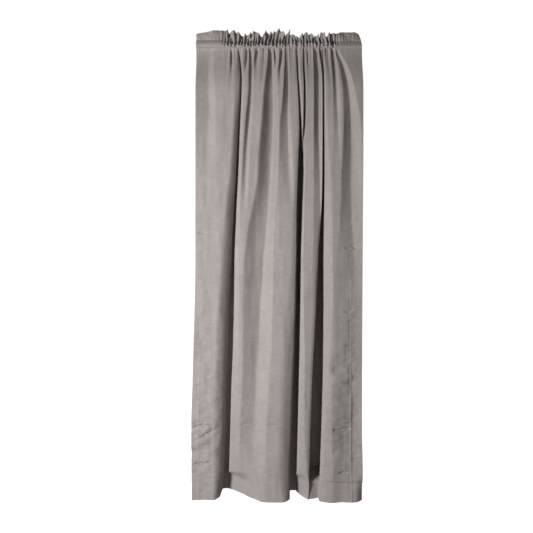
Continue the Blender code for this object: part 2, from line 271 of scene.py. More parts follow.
def tightness(x):
    """How tightly the cloth is gathered on the rod, from 0 to 1: hardly at its two ends."""
    stations = ((-0.40, 0.02), (-0.26, 0.05), (-0.228, 0.8), (-0.20, 1.0), (0.05, 1.0), (0.065, 0.6),
                (0.14, 0.6), (0.155, 1.2), (0.205, 1.2), (0.25, 0.5), (0.285, 0.08), (0.40, 0.03))
    return at_x(x, stations)


def deep_fold(x, drop, stations, side):
    """The depth of a deep fold: a rounded shoulder on its left, a steep wall and a flank on its right."""
    middle, mouth, shoulder, depth, flank, share = follow(drop, stations)
    start, over, opened_share, opened_depth = HEM_OPENS[side]
    opened = eased((drop - start) / over)
    share = share + (opened_share - share) * opened
    depth = depth * (1 + (opened_depth - 1) * opened)
    left, right = middle - mouth / 2, middle + mouth / 2
    on_shoulder = np.clip((x - left + shoulder) / shoulder, 0, 1) ** 1.8
    lip = follow(drop, SHOULDER_SHARE[side])[0]
    into = lip * on_shoulder + (1 - lip) * eased((x - left + 0.003) / 0.006)
    wall = 1 - eased((x - right) / 0.0035)
    slope = (1 - np.clip((x - right) / flank, 0, 1)) ** 1.15
    return depth * np.where(x < (left + right) / 2, into, (1 - share) * wall + share * slope)


def soft_fold(x, drop, stations):
    """The depth of a softer fold, whose left side is partly a flat facet."""
    bottom, on_left, on_right, depth, facet = follow(drop, stations)
    away = x - bottom
    reach = np.clip(np.abs(away) / np.where(away < 0, on_left, on_right), 0, 1)
    valley = (1 - reach**2) ** 1.6
    flat = (1 - reach) ** 1.1
    return depth * np.where(away < 0, valley + (flat - valley) * facet, valley)


def crease(x, drop, at, start, end, height, width=0.004):
    """A sharp packing crease across the cloth at about one drop, from one x to another."""
    line = at + 0.004 * drift(x / 0.03, at, 71) + 0.004 * drift(x / 0.012, at * 9, 72)
    fade = eased((x - start) / 0.02) * eased((end - x) / 0.02)
    return height * fade * np.exp(-(((drop - line) / width) ** 2))


def deepest(drop):
    """The furthest the cloth can lie back: little at the gathered pocket, and most from 0.7 m below it."""
    return 0.026 + 0.112 * eased((drop - POCKET_FOOT) / 0.7)


def folds(x, drop, down):
    """How far the folds take the cloth behind its face plane."""
    at_pocket, at_hem = at_x(x, LIE_AT_POCKET), at_x(x, LIE_AT_HEM)
    depth = at_pocket + (at_hem - at_pocket) * eased(down * 1.3)
    for stations, side in ((LEFT_FOLD, "left"), (MIDDLE_FOLD, "middle"), (RIGHT_FOLD, "right")):
        depth = depth + deep_fold(x, drop, stations, side)
    for stations in SOFT_FOLDS:
        depth = depth + soft_fold(x, drop, stations)
    depth = depth + CORNER_CURL * eased((x - 0.342) / 0.040) * eased((drop - 1.93) / 0.12)
    limit = deepest(drop)
    return depth / (1 + (depth / limit) ** 6) ** (1 / 6)


def unevenness(x, drop, below):
    """What the gathering adds under the pocket, and the cloth's own slow and quick unevenness."""
    tight = tightness(x)
    gathered = tight * FINE_GATHERS * np.exp(-below / 0.040) * gathers(x, drop, 0.0125, 11)
    gathered = gathered + tight * BROAD_GATHERS * np.exp(-below / 0.110) * gathers(x, drop, 0.027, 21)
    slow = SLOW_DRIFT * eased(below / 0.5) * drift(x / 0.055, drop / 0.75, 31)
    quick = QUICK_DRIFT * eased(below / 0.2) * drift(x / 0.018, drop / 0.10, 41)
    return gathered + slow + quick


def wrinkles(x, drop):
    """Slanted wrinkles from the packing: low down at both sides, and faint ones higher up on the left."""
    slanted = drift(x / 0.11 + drop / 0.05, (drop - x * 0.5) / 0.030, 47)
    slanted = slanted + 0.6 * drift(x / 0.05, (drop + x * 0.35) / 0.019, 48)
    on_right = np.exp(-(((drop - 1.50) / 0.080) ** 2)) + 0.7 * np.exp(-(((drop - 1.80) / 0.10) ** 2))
    on_right = on_right * eased((x - 0.225) / 0.03) * eased((0.345 - x) / 0.02)
    on_left = 1.3 * np.exp(-(((drop - 1.80) / 0.085) ** 2)) * eased((-0.255 - x) / 0.03)
    higher = 0.35 * eased((drop - 0.95) / 0.2) * eased((-0.30 - x) / 0.03)
    return WRINKLES * (on_right + on_left + higher) * slanted


def side_seam(x, drop, down, edge, inside, strength):
    """The pucker along a side hem's stitches, and the line where the hem's layer ends behind the face."""
    seam = edge + inside
    half_way = edge + inside / 2
    near = np.exp(-(((x - seam) / 0.013) ** 2)) + 0.45 * np.exp(-(((x - half_way) / 0.016) ** 2))
    slant = drop / 0.026 + (x - seam) / 0.03
    pucker = SIDE_PUCKER * near * eased(down * 1.7) * drift((x - seam) / 0.05, slant, 51)
    line = SIDE_HEM_LINE * eased(drop - 0.7) * np.exp(-(((x - seam) / 0.0032) ** 2))
    return strength * (pucker - line)


def hang(drop):
    """The cloth's line at each drop, as two arrays of fine points from left to right: x and y."""
    drop = np.asarray(drop, float)[:, None]
    left = HUNG_LEFT + follow(drop, LEFT_SIDE)[0]
    right = HUNG_RIGHT + follow(drop, RIGHT_SIDE)[0]
    x = left + (right - left) * np.linspace(0, 1, FINE_POINTS)[None, :]
    down = (drop - POCKET_FOOT) / (HEM_EDGE - POCKET_FOOT)
    below = drop - POCKET_FOOT
    depth = folds(x, drop, down) + unevenness(x, drop, below)
    for at, start, end, height in CREASES:
        depth = depth + crease(x, drop, at, start, end, height)
    depth = depth + wrinkles(x, drop)
    for edge, inside, strength in ((left, 0.030, 0.7), (right, -0.050, 1.0)):
        depth = depth + side_seam(x, drop, down, edge, inside, strength)
    face = SEAM_PLANE + (FACE_PLANE - SEAM_PLANE) * eased(below / 0.2)
    y = face + CLOTH_THICKNESS + np.minimum(depth, deepest(drop) * 1.06) * eased(0.3 + below / 0.02)
    smooth = np.array([1, 4, 6, 4, 1]) / 16
    padded = np.pad(y, ((0, 0), (4, 4)), mode="edge")
    for _ in range(2):
        padded = sum(share * padded[:, i:padded.shape[1] - 4 + i] for i, share in enumerate(smooth))
    return x, padded


def run_along(x, y):
    """How far along the cloth each fine point of a row is."""
    steps = np.hypot(np.diff(x, axis=1), np.diff(y, axis=1))
    return np.concatenate([np.zeros((len(x), 1)), np.cumsum(steps, axis=1)], axis=1)


def fold_edges(drop, stations):
    """Where a deep fold's mouth starts, with part of its shoulder, and where its right lip is."""
    middle, mouth, shoulder = follow(drop, stations)[:3]
    return middle - mouth / 2 - 0.2 * shoulder, middle + mouth / 2 + 0.004


# Columns of the mesh between the left edge, each deep fold's two sides, each crown and the right edge
COLUMNS = (52, 16, 66, 56, 16, 44, 42, 16, 76)
WIDE_CROWN_COLUMN = sum(COLUMNS[:3])
NARROW_CROWN_COLUMN = sum(COLUMNS[:6])
PIECES = {
    "left": (0, WIDE_CROWN_COLUMN, "left_panel", "wide_fold", LEFT_FOLD),
    "middle": (WIDE_CROWN_COLUMN, NARROW_CROWN_COLUMN, "wide_fold", "narrow_fold", MIDDLE_FOLD),
    "right": (NARROW_CROWN_COLUMN, sum(COLUMNS), "narrow_fold", "right_panel", RIGHT_FOLD),
}


def hung_cloth(drop):
    """The cloth's points, their outward normals, and how far along the cloth they are, by drop and column."""
    x, y = hang(drop)
    along = run_along(x, y)
    anchors = [x[:, 0]]
    for stations, crown in ((LEFT_FOLD, WIDE_CROWN), (MIDDLE_FOLD, NARROW_CROWN), (RIGHT_FOLD, None)):
        anchors += list(fold_edges(drop, stations))
        if crown:
            anchors.append(follow(drop, crown)[0])
    anchors.append(x[:, -1])
    points = np.zeros((len(drop), sum(COLUMNS) + 1, 3))
    reached = np.zeros(points.shape[:2])
    for row in range(len(drop)):
        stops = [np.interp(anchor[row], x[row], along[row]) for anchor in anchors]
        line = [np.linspace(a, b, n, endpoint=False) for a, b, n in zip(stops, stops[1:], COLUMNS)]
        reached[row] = np.append(np.concatenate(line), stops[-1])
        points[row, :, 0] = np.interp(reached[row], along[row], x[row])
        points[row, :, 1] = np.interp(reached[row], along[row], y[row])
        points[row, :, 2] = -drop[row]
    for side, stations in (("left", LEFT_FOLD), ("middle", MIDDLE_FOLD), ("right", RIGHT_FOLD)):
        middle, mouth = (value[:, None] for value in follow(drop, stations)[:2])
        lip = middle + mouth / 2 + 0.006
        at_lip = np.stack([np.interp(lip[i], x[i], y[i]) for i in range(len(drop))])
        behind = np.maximum(points[:, :, 1] - at_lip - 0.004, 0)
        across = points[:, :, 0] - middle
        inside = eased((across + mouth / 2) / (mouth + 0.004)) * (across < mouth / 2 + 0.008)
        points[:, :, 0] += WALL_LEANS[side] * behind * inside
    return points, outward(points), reached


def outward(points):
    """The unit normals of a grid of points whose rows run down and whose columns run to the right."""
    normal = np.cross(np.gradient(points, axis=0), np.gradient(points, axis=1))
    return normal / np.linalg.norm(normal, axis=2, keepdims=True)


BEND_STARTS = 0.03  # how far before the fold's mouth, along the cloth


def share_across(points, reached, stations):
    """A share from 0 to 1 for each point: 0 until 30 mm before the fold's mouth, 1 from its right lip, and in
    between for the cloth inside the fold.
    """
    drop = -points[:, 0, 2]
    start, end = fold_edges(drop, stations)
    shares = np.zeros(reached.shape)
    for row in range(len(drop)):
        order = np.maximum.accumulate(points[row, :, 0])
        first, last = (np.interp(place[row], order, reached[row]) for place in (start, end))
        first, last = max(first - BEND_STARTS, reached[row, 0]), min(last, reached[row, -1])
        shares[row] = eased((reached[row] - first) / (last - first))
    return shares


def cloth_piece(name, points, unrolled, material):
    """A sheet of cloth over a grid of points, with its unrolled place on the cloth as its UV map, in metres.
    Returns it with the row and column of each of its points."""
    rows, columns = points.shape[:2]
    bm = bmesh.new()
    bmesh.ops.create_grid(bm, x_segments=columns - 1, y_segments=rows - 1, size=1)
    for edge in bm.edges:
        edge.smooth = not edge.is_boundary
    mesh = bpy.data.meshes.new(name)
    bm.to_mesh(mesh)
    bm.free()
    place = np.zeros(len(mesh.vertices) * 3)
    mesh.vertices.foreach_get("co", place)
    place = place.reshape(-1, 3)
    column = np.rint((place[:, 0] + 1) / 2 * (columns - 1)).astype(int)
    row = rows - 1 - np.rint((place[:, 1] + 1) / 2 * (rows - 1)).astype(int)
    mesh.vertices.foreach_set("co", points[row, column].ravel())
    corner = np.zeros(len(mesh.loops), int)
    mesh.loops.foreach_get("vertex_index", corner)
    cloth_uv = mesh.uv_layers.new(name="on_the_cloth")
    cloth_uv.data.foreach_set("uv", unrolled[row, column][corner].ravel())
    mesh.shade_smooth()
    mesh.materials.append(material)
    obj = bpy.data.objects.new(name, mesh)
    bpy.context.scene.collection.objects.link(obj)
    solid = obj.modifiers.new("cloth thickness", "SOLIDIFY")
    solid.thickness = CLOTH_THICKNESS
    solid.offset = 0
    return obj, row, column


def bend_across(obj, shares):
    """Bakes the piece's place into its mesh. The shares are not used."""
    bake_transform(obj)


def sockets(group, entries):
    """The group's inputs and outputs, each as its name, kind, direction and default."""
    for name, kind, direction, default in entries:
        socket = group.interface.new_socket(name=name, in_out=direction, socket_type=kind)
        if default is not None:
            socket.default_value = default


def node(tree, kind, settings=None, **inputs):
    """A node with its settings, and its inputs set to values or linked from other nodes' sockets. An input is
    given by its name, with _ for a space, or as i and its number."""
    made = tree.nodes.new(kind)
    for name, value in (settings or {}).items():
        setattr(made, name, value)
    for name, value in inputs.items():
        numbered = name[0] == "i" and name[1:].isdigit()
        socket = made.inputs[int(name[1:]) if numbered else name.replace("_", " ")]
        if isinstance(value, bpy.types.NodeSocket):
            tree.links.new(value, socket)
        else:
            socket.default_value = value
    return made


def math_node(tree, operation, first, second=0.0, clamp=False):
    settings = {"operation": operation, "use_clamp": clamp}
    return node(tree, "ShaderNodeMath", settings, i0=first, i1=second).outputs[0]


def smooth_step(tree, value, start, end):
    """From 0 where the value is at the start to 1 where it is at the end."""
    return node(tree, "ShaderNodeMapRange", {"interpolation_type": "SMOOTHSTEP"}, Value=value,
                From_Min=start, From_Max=end, To_Min=0.0, To_Max=1.0).outputs[0]


def build_plain_weave():
    """Threads over and under each other on the cloth's own UV map, with thick and thin places in the yarn."""
    group = bpy.data.node_groups.new("plain_weave", "ShaderNodeTree")
    sockets(group, (
        ("Thread Pitch", "NodeSocketFloat", "INPUT", 0.0011),
        ("Unevenness", "NodeSocketFloat", "INPUT", 1.0),
        ("Value", "NodeSocketFloat", "OUTPUT", None),
        ("Height", "NodeSocketFloat", "OUTPUT", None),
    ))
    given = group.nodes.new("NodeGroupInput")
    result = group.nodes.new("NodeGroupOutput")
    uv = node(group, "ShaderNodeUVMap", {"uv_map": "on_the_cloth"}).outputs[0]
    split = node(group, "ShaderNodeSeparateXYZ", i0=uv)
    waves, slubs = [], []
    for axis, stretch, seed in ((0, (520, 26, 1), 3.0), (1, (22, 430, 1), 11.0)):
        turns = math_node(group, "DIVIDE", split.outputs[axis], given.outputs["Thread Pitch"])
        waves.append(math_node(group, "SINE", math_node(group, "MULTIPLY", turns, 2 * math.pi)))
        placed = node(group, "ShaderNodeMapping", i0=uv, Scale=stretch, Location=(seed, seed, 0)).outputs[0]
        noise = node(group, "ShaderNodeTexNoise", Vector=placed, Scale=1.0, Detail=3.0, Roughness=0.62)
        slubs.append(math_node(group, "SUBTRACT", noise.outputs["Fac"], 0.5))
    over = math_node(group, "MULTIPLY", waves[0], waves[1])
    yarn = math_node(group, "ADD", slubs[0], slubs[1])
    noise = node(group, "ShaderNodeTexNoise", Vector=uv, Scale=9.0, Detail=3.0, Roughness=0.55)
    blotch = math_node(group, "MULTIPLY", math_node(group, "SUBTRACT", noise.outputs["Fac"], 0.5), 0.35)
    value = math_node(group, "ADD", yarn, blotch)
    value = math_node(group, "MULTIPLY", value, given.outputs["Unevenness"])
    value = math_node(group, "ADD", value, math_node(group, "MULTIPLY", over, 0.10))
    height = math_node(group, "ADD", math_node(group, "MULTIPLY", over, 0.5), yarn)
    group.links.new(value, result.inputs["Value"])
    group.links.new(height, result.inputs["Height"])
    return group


plain_weave = build_plain_weave()


CRUMPLES = (((7, 15, 1), 0.35, 2.0, 0.0034), ((9, 20, 1), -0.5, 7.0, 0.0022), ((30, 52, 1), 0.2, 4.0, 0.0004))


def build_packing_creases():
    """Soft crumples from the packing, as a height in metres: faint, but stronger low down at both sides."""
    group = bpy.data.node_groups.new("packing_creases", "ShaderNodeTree")
    sockets(group, (("Height", "NodeSocketFloat", "OUTPUT", None),))
    result = group.nodes.new("NodeGroupOutput")
    uv = node(group, "ShaderNodeUVMap", {"uv_map": "on_the_cloth"}).outputs[0]
    split = node(group, "ShaderNodeSeparateXYZ", i0=uv)
    total = None
    for stretch, turn, seed, height in CRUMPLES:
        placed = node(group, "ShaderNodeMapping", i0=uv, Scale=stretch, Rotation=(0, 0, turn),
                      Location=(seed, 0, 0))
        noise = node(group, "ShaderNodeTexNoise", Vector=placed.outputs[0], Scale=1.0, Detail=1.0,
                     Roughness=0.4, Distortion=0.3).outputs["Fac"]
        away = math_node(group, "ABSOLUTE", math_node(group, "SUBTRACT", noise, 0.5))
        ridge = math_node(group, "SUBTRACT", 1.0, math_node(group, "MULTIPLY", away, 5.0), clamp=True)
        ridge = math_node(group, "MULTIPLY", math_node(group, "POWER", ridge, 1.5), height)
        total = ridge if total is None else math_node(group, "ADD", total, ridge)
    low = smooth_step(group, split.outputs[1], -1.15, -1.65)
    at_left = smooth_step(group, split.outputs[0], 0.19, 0.12)
    at_right = smooth_step(group, split.outputs[0], 1.00, 1.07)
    at_sides = math_node(group, "MAXIMUM", at_left, at_right)
    low_at_sides = math_node(group, "MULTIPLY", math_node(group, "MULTIPLY", low, at_sides), 0.55)
    elsewhere = math_node(group, "ADD", math_node(group, "MULTIPLY", at_sides, 0.08), 0.06)
    strength = math_node(group, "ADD", low_at_sides, elsewhere)
    group.links.new(math_node(group, "MULTIPLY", total, strength), result.inputs["Height"])
    return group


packing_creases = build_packing_creases()


def woven_material(name, dark, light):
    """Matte cloth between two colours, as its yarn's thick and thin places give it."""
    material = bpy.data.materials.new(name)
    material.use_nodes = True
    tree = material.node_tree
    shader = tree.nodes["Principled BSDF"]
    weave = tree.nodes.new("ShaderNodeGroup")
    weave.node_tree = plain_weave
    creases = tree.nodes.new("ShaderNodeGroup")
    creases.node_tree = packing_creases
    thin_or_thick = math_node(tree, "ADD", weave.outputs["Value"], 0.5, clamp=True)
    colour = node(tree, "ShaderNodeMix", {"data_type": "RGBA"}, Factor=thin_or_thick, i6=dark, i7=light)
    tree.links.new(colour.outputs[2], shader.inputs["Base Color"])
    crumpled = node(tree, "ShaderNodeBump", Height=creases.outputs["Height"], Distance=1.0, Strength=1.0)
    bump = node(tree, "ShaderNodeBump", Height=weave.outputs["Height"], Distance=0.0003, Strength=0.55,
                Normal=crumpled.outputs[0])
    tree.links.new(bump.outputs[0], shader.inputs["Normal"])
    varied = math_node(tree, "MULTIPLY", weave.outputs["Value"], 0.12)
    tree.links.new(math_node(tree, "ADD", varied, 0.90, clamp=True), shader.inputs["Roughness"])
    shader.inputs["Specular IOR Level"].default_value = 0.18
    shader.inputs["Sheen Weight"].default_value = 0.12
    shader.inputs["Sheen Roughness"].default_value = 0.45
    return material


warm_grey_cloth = woven_material("warm_grey_cloth", (0.262, 0.232, 0.219, 1), (0.500, 0.452, 0.432, 1))

rows_near_pocket = POCKET_FOOT + 0.14 * np.linspace(0, 1, 40) ** 1.15
rows_down = np.linspace(rows_near_pocket[-1], HEM_EDGE - 0.11, 166)[1:]
rows_at_hem = np.linspace(rows_down[-1], HEM_EDGE, 36)[1:]
rows_at_creases = [at + step for at, *_ in CREASES for step in np.linspace(-0.009, 0.009, 8)]
cloth_drops = np.sort(np.concatenate([rows_near_pocket, rows_down, rows_at_hem, rows_at_creases]))
cloth_drops = cloth_drops[np.concatenate([[True], np.diff(cloth_drops) > 0.0012])]
cloth_drops[-1] = HEM_EDGE
cloth_points, cloth_normals, cloth_run = hung_cloth(cloth_drops)
cloth_unrolled = np.dstack([cloth_run, np.broadcast_to(-cloth_drops[:, None], cloth_run.shape)])
HEM_UNEVENNESS = 0.0016
HEM_SAGS = 0.0006
HEM_REACH = 0.12  # how far up the bottom edge's unevenness is felt
near_hem = eased((cloth_drops[:, None] - HEM_EDGE + HEM_REACH) / HEM_REACH)
cloth_points[:, :, 2] += (HEM_UNEVENNESS * drift(cloth_run / 0.05, 0, 61) - HEM_SAGS) * near_hem


for side, (first, last, body, next_body, stations) in PIECES.items():
    here = slice(first, last + 1)
    points = cloth_points[:, here]
    piece, row, column = cloth_piece(f"face_cloth_{side}", points, cloth_unrolled[:, here], warm_grey_cloth)
    bend_across(piece, share_across(points, cloth_run[:, here], stations)[row, column])
    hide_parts(f"drape_{next_body}")
    if side == "left":
        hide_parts(f"drape_{body}")


# ---- The rod pocket and its heading --------------------------------------------------------------
# The top of the same cloth goes up in front of the rod, on past it as a ruffle, over and down behind
# the rod. Two rows of stitches close the pocket, and the rod's pull crushes it into small tight gathers.

HEADING_PITCH = 0.0011
LAYER = 0.0013  # half the distance between the heading's two layers
POCKET_DEEP = -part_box("pocket_front_left_panel")[0].y
POCKET_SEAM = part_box("heading_seam_left_panel")[0].z - SEAMS_DRAWN_IN
PLEAT_PITCH = 0.0145  # of the pocket's gathers
CRUSHED = 0.0106  # how far the pocket's gathers stand in and out
PINCHED = 0.0068  # how much more at the upper seam
RUFFLE = 0.0125  # how far the heading's ruffles do
CORNER = 0.031  # the radius of the heading's upper right corner
# How high the heading's fold stands above the rod's axis at each x
HEADING_CREST = ((-0.378, 0.045), (-0.368, 0.049), (-0.33, 0.056), (-0.296, 0.062), (-0.236, 0.063),
                 (-0.222, 0.055), (-0.201, 0.062), (-0.188, 0.047), (-0.168, 0.045), (-0.136, 0.050),
                 (-0.113, 0.060), (-0.092, 0.037), (-0.072, 0.053), (-0.035, 0.054), (-0.004, 0.064),
                 (0.018, 0.044), (0.046, 0.059), (0.060, 0.037), (0.092, 0.032), (0.124, 0.049),
                 (0.147, 0.045), (0.165, 0.030), (0.184, 0.041), (0.197, 0.037), (0.202, 0.058),
                 (0.211, 0.047), (0.225, 0.037), (0.238, 0.053), (0.266, 0.050), (0.289, 0.058),
                 (0.38, 0.058))
# How far that fold leans back, and how far to the right the ruffle leans
HEADING_LEANS_BACK = ((-0.40, 0.0), (-0.30, 0.003), (-0.27, 0.014), (-0.20, 0.016), (-0.17, 0.004),
                      (-0.10, 0.004), (-0.08, 0.012), (-0.04, 0.012), (-0.02, 0.004), (0.10, 0.0),
                      (0.25, 0.008), (0.30, 0.026), (0.40, 0.030))
RUFFLE_LEANS = ((-0.40, 0.0), (-0.22, 0.0), (-0.19, 0.006), (-0.10, 0.010), (0.04, 0.011), (0.055, 0.0),
                (0.20, -0.004), (0.25, 0.0), (0.40, 0.0))
# How much the face cloth's folds go on up over the pocket
FOLDS_OVER_POCKET = ((-0.40, 0.0), (0.042, 0.0), (0.052, 1.0), (0.148, 1.0), (0.158, 0.1), (0.205, 0.1),
                     (0.215, 0.8), (0.245, 0.7), (0.262, 0.0), (0.40, 0.0))


def heading_height(x):
    """How high the heading stands above the rod: uneven where it is gathered, round at its right end."""
    crest = at_x(x, HEADING_CREST)
    crest = crest + 0.004 * np.clip(tightness(x), 0, 1) + 0.5 * at_x(x, HEADING_LEANS_BACK)
    crest = crest + 0.004 * tightness(x) * (drift(x / 0.012, 0.3, 81) + 0.4 * drift(x / 0.005, 0.7, 82))
    turn = np.clip((x - HUNG_RIGHT + CORNER) / CORNER, 0, 1)
    return crest - CORNER * (1 - np.sqrt(1 - turn**2))


# The rows of the strip up one side: round the rod by angle, then up the ruffle from 0 to 1
ROUND_THE_ROD = np.radians(np.linspace(-88, 88, 19))
UP_THE_RUFFLE = np.linspace(0.0, 1.0, 15)
OVER_THE_TOP = np.radians((-55, 0, 55))


def heading_rows():
    """The strip's rows in order, each as its side (-1 in front, 0 on top, 1 behind), part and place."""
    half = [("pocket", angle) for angle in ROUND_THE_ROD] + [("ruffle", up) for up in UP_THE_RUFFLE]
    over = [(0, "top", angle) for angle in OVER_THE_TOP]
    return [(-1, *row) for row in half] + over + [(1, *row) for row in half[::-1]]


def heading_points(x):
    """The grid of the heading's strip over the given columns, and how far along the strip each row is."""
    pocket_half = (POCKET_SEAM + POCKET_FOOT) / 2
    pocket_middle = (POCKET_SEAM - POCKET_FOOT) / 2
    tight = tightness(x)
    at_right = eased((x - 0.20) / 0.06)
    foot_x, foot_y = hang(np.array([POCKET_FOOT]))
    folded = np.interp(x, foot_x[0], foot_y[0])
    beside_x, beside_y = hang(np.array([POCKET_FOOT + 0.035]))
    covered = at_x(x, FOLDS_OVER_POCKET)
    fold_above = np.interp(x, beside_x[0], beside_y[0] - np.median(beside_y[0])) * covered
    # the upper seam is drawn back, so the pocket faces up a little
    sunk = 0.006 + 0.021 * np.clip(tight, 0, 1) * (1 - 0.6 * covered) + 0.009 * at_right
    pleats = gathers(x, 0.0, PLEAT_PITCH, 91)
    height = heading_height(x)
    leans_back, leans_right = at_x(x, HEADING_LEANS_BACK), at_x(x, RUFFLE_LEANS)
    rows = []
    for side, part, at in heading_rows():
        if part == "pocket":
            z = np.full_like(x, pocket_middle + pocket_half * math.sin(at))
            round_rod = math.cos(at) ** 2.6
            upward = (1 + math.sin(at)) / 2
            fullness = 0.45 - 0.2 * at_right if side < 0 else 1.0
            crushed = pleats * (0.2 + 0.8 * upward) + 0.8 * drift(x / 0.009, z / 0.006, 95 + side)
            y = side * (LAYER + (POCKET_DEEP - LAYER) * round_rod * fullness)
            y = y + tight * CRUSHED * crushed * (0.3 + 0.7 * max(round_rod, upward**2))
            y = y + tight * PINCHED * pleats * upward**3 + sunk * upward - 0.005 * (1 - upward)
            along_x = x + tight * 0.0016 * drift(x / 0.008, z / 0.007, 97 + side)
            if side < 0:
                to_foot = 1 - eased((z + POCKET_FOOT) / 0.006)
                y = y * (1 - to_foot) + folded * to_foot + fold_above * (1 - to_foot)
        else:
            up = at if part == "ruffle" else 1.0
            z = POCKET_SEAM + (height - POCKET_SEAM) * up
            ruffled = 1.15 * gathers(x, 0.02 * up, 0.0235, 101) + 0.5 * gathers(x, 0.03 * up, 0.0135, 105)
            ruffled = ruffled + 0.5 * drift(x / 0.010, up * 2.6, 109)
            y = tight * ((CRUSHED + PINCHED) * pleats * (1 - up) + RUFFLE * ruffled * up**0.85)
            y = y + sunk * (1 - 0.6 * up)
            y = y + 0.0030 * drift(x / 0.030 + up, up * 1.6, 107) + up * leans_back
            along_x = x + leans_right * up + tight * 0.006 * up * drift(x / 0.014, up * 0.6, 111)
            if part == "top":
                y = y + LAYER * math.sin(at)
                z = z + LAYER * math.cos(at)
            else:
                y = y + side * LAYER * (1 + 0.8 * math.sin(math.pi * up))
            if side < 0 or part == "top":
                y = y + fold_above * (1 - 0.4 * up)
        rows.append(np.stack([along_x, y, z], axis=1))
    points = np.stack(rows)
    steps = np.linalg.norm(np.diff(points, axis=0), axis=2).mean(axis=1)
    return points, np.concatenate([[0], np.cumsum(steps)])


def share_beside(x, stations):
    """A share from 0 to 1 across the heading over a deep fold, rising over 32 mm about the fold's middle."""
    middle, reach = follow(0.03, stations)[0], 0.016
    return eased((x - middle + reach) / (2 * reach))


at_top = [float(follow(POCKET_FOOT, crown)[0]) for crown in (WIDE_CROWN, NARROW_CROWN)]
heading_ends = {"left": (HUNG_LEFT, at_top[0]), "middle": tuple(at_top), "right": (at_top[1], HUNG_RIGHT)}
heading_grids = {}
for side, (start, end) in heading_ends.items():
    x = np.linspace(start, end, round((end - start) / HEADING_PITCH) + 1)
    points, around = heading_points(x)
    along = np.linalg.norm(np.diff(points, axis=1), axis=2).sum(axis=1).mean()
    heading_grids[side] = (x, points, around, along)
heading_seam_lines = {}
for side, (_, _, body, next_body, stations) in PIECES.items():
    x, points, around, along = heading_grids[side]
    unrolled_x = x * FLAT_WIDTH / (HUNG_RIGHT - HUNG_LEFT)
    unrolled = np.dstack(np.broadcast_arrays(unrolled_x[None, :], around[:, None]))
    piece, row, column = cloth_piece(f"heading_{side}", points, unrolled, warm_grey_cloth)
    shares = np.broadcast_to(share_beside(x, stations), points.shape[:2])
    bend_across(piece, shares[row, column])
    for stretch in [next_body] + ([body] if side == "left" else []):
        walls = [f"{part}_{word}" for part in ("pocket", "heading") for word in ("front", "back")]
        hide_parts(*[f"{wall}_{stretch}" for wall in walls])
    heading_seam_lines[side] = (points, shares)


# ---- The bottom hem ------------------------------------------------------------------------------
# The last 85 mm of the cloth is turned up to the back and sewn flat, so the bottom edge is a soft round
# fold. The turned layer is one more sheet behind the face.

BEHIND = 0.0013  # from the face to the turned layer
HEM_WIDTH = HEM_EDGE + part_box("bottom_hem_wide_fold")[1].z
ROUND_THE_FOLD = np.radians((30, 60, 90, 120, 150, 180))
ELSEWHERE_DOWN = 3.0  # the turned layer's yarns aren't the face's, so its UV map is moved on by this


def turned_fold(edge, normal, outwards):
    """Rows of points round a fold, from the turned layer behind the edge to the face."""
    rows = []
    for angle in ROUND_THE_FOLD:
        behind = edge - normal * (BEHIND / 2 * (1 + math.cos(angle)))
        rows.append(behind + outwards * (CLOTH_THICKNESS * math.sin(angle)))
    return rows


hem_rows = np.flatnonzero(cloth_drops >= HEM_EDGE - HEM_WIDTH)
for side, (first, last, body, next_body, stations) in PIECES.items():
    here = np.arange(first, last + 1)
    points, normals = (grid[hem_rows][:, here] for grid in (cloth_points, cloth_normals))
    folded = turned_fold(points[-1], normals[-1], np.array([0, 0, -1.0]))
    back = points - normals * BEHIND
    grid = np.concatenate([back, np.stack(folded)])
    run = cloth_run[hem_rows][:, here]
    run = np.concatenate([run, np.repeat(run[-1:], len(folded), axis=0)])
    fallen = np.linspace(0, HEM_WIDTH + 0.002, len(grid))[:, None]
    unrolled = np.dstack(np.broadcast_arrays(run, fallen + ELSEWHERE_DOWN))
    piece, row, column = cloth_piece(f"bottom_hem_{side}_turned", grid, unrolled, warm_grey_cloth)
    shares = share_across(points, cloth_run[hem_rows][:, here], stations)
    shares = np.concatenate([shares, np.repeat(shares[-1:], len(folded), axis=0)])
    bend_across(piece, shares[row, column])
    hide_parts(f"bottom_hem_{next_body}")
    if side == "left":
        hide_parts(f"bottom_hem_{body}")


# ---- The side hems -------------------------------------------------------------------------------
# Each side edge is turned to the back, 30 mm on the left and 50 mm on the right, from the pocket down to
# the bottom hem, and is sewn along its inner edge.

SIDE_HEMS = {"left": (0.030, "left_panel"), "right": (0.050, "right_panel")}
ELSEWHERE_ACROSS = 5.0  # as for the bottom hem
side_rows = np.flatnonzero(cloth_drops <= HEM_EDGE - HEM_WIDTH + 0.004)
side_seam_columns = {}
for side, (width, body) in SIDE_HEMS.items():
    from_edge = cloth_run if side == "left" else cloth_run[:, -1:] - cloth_run
    count = int(np.argmin(np.abs(from_edge.mean(axis=0) - width)))
    columns = np.arange(0, count + 1) if side == "left" else np.arange(count, cloth_run.shape[1])
    edge = 0 if side == "left" else -1
    points, normals = (grid[side_rows][:, columns] for grid in (cloth_points, cloth_normals))
    outwards = np.array([-1.0 if side == "left" else 1.0, 0, 0])
    folded = np.stack(turned_fold(points[:, edge], normals[:, edge], outwards), axis=1)
    back = points - normals * BEHIND
    grid = np.concatenate([folded[:, ::-1], back] if side == "left" else [back, folded], axis=1)
    across = np.arange(grid.shape[1]) * width / (len(columns) - 1) + ELSEWHERE_ACROSS
    unrolled = np.dstack(np.broadcast_arrays(across[None, :], -cloth_drops[side_rows][:, None]))
    piece, _, _ = cloth_piece(f"{side}_side_hem_turned", grid, unrolled, warm_grey_cloth)
    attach(piece, body)
    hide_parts(f"{side}_side_hem")
    side_seam_columns[side] = columns[-2] if side == "left" else columns[1]


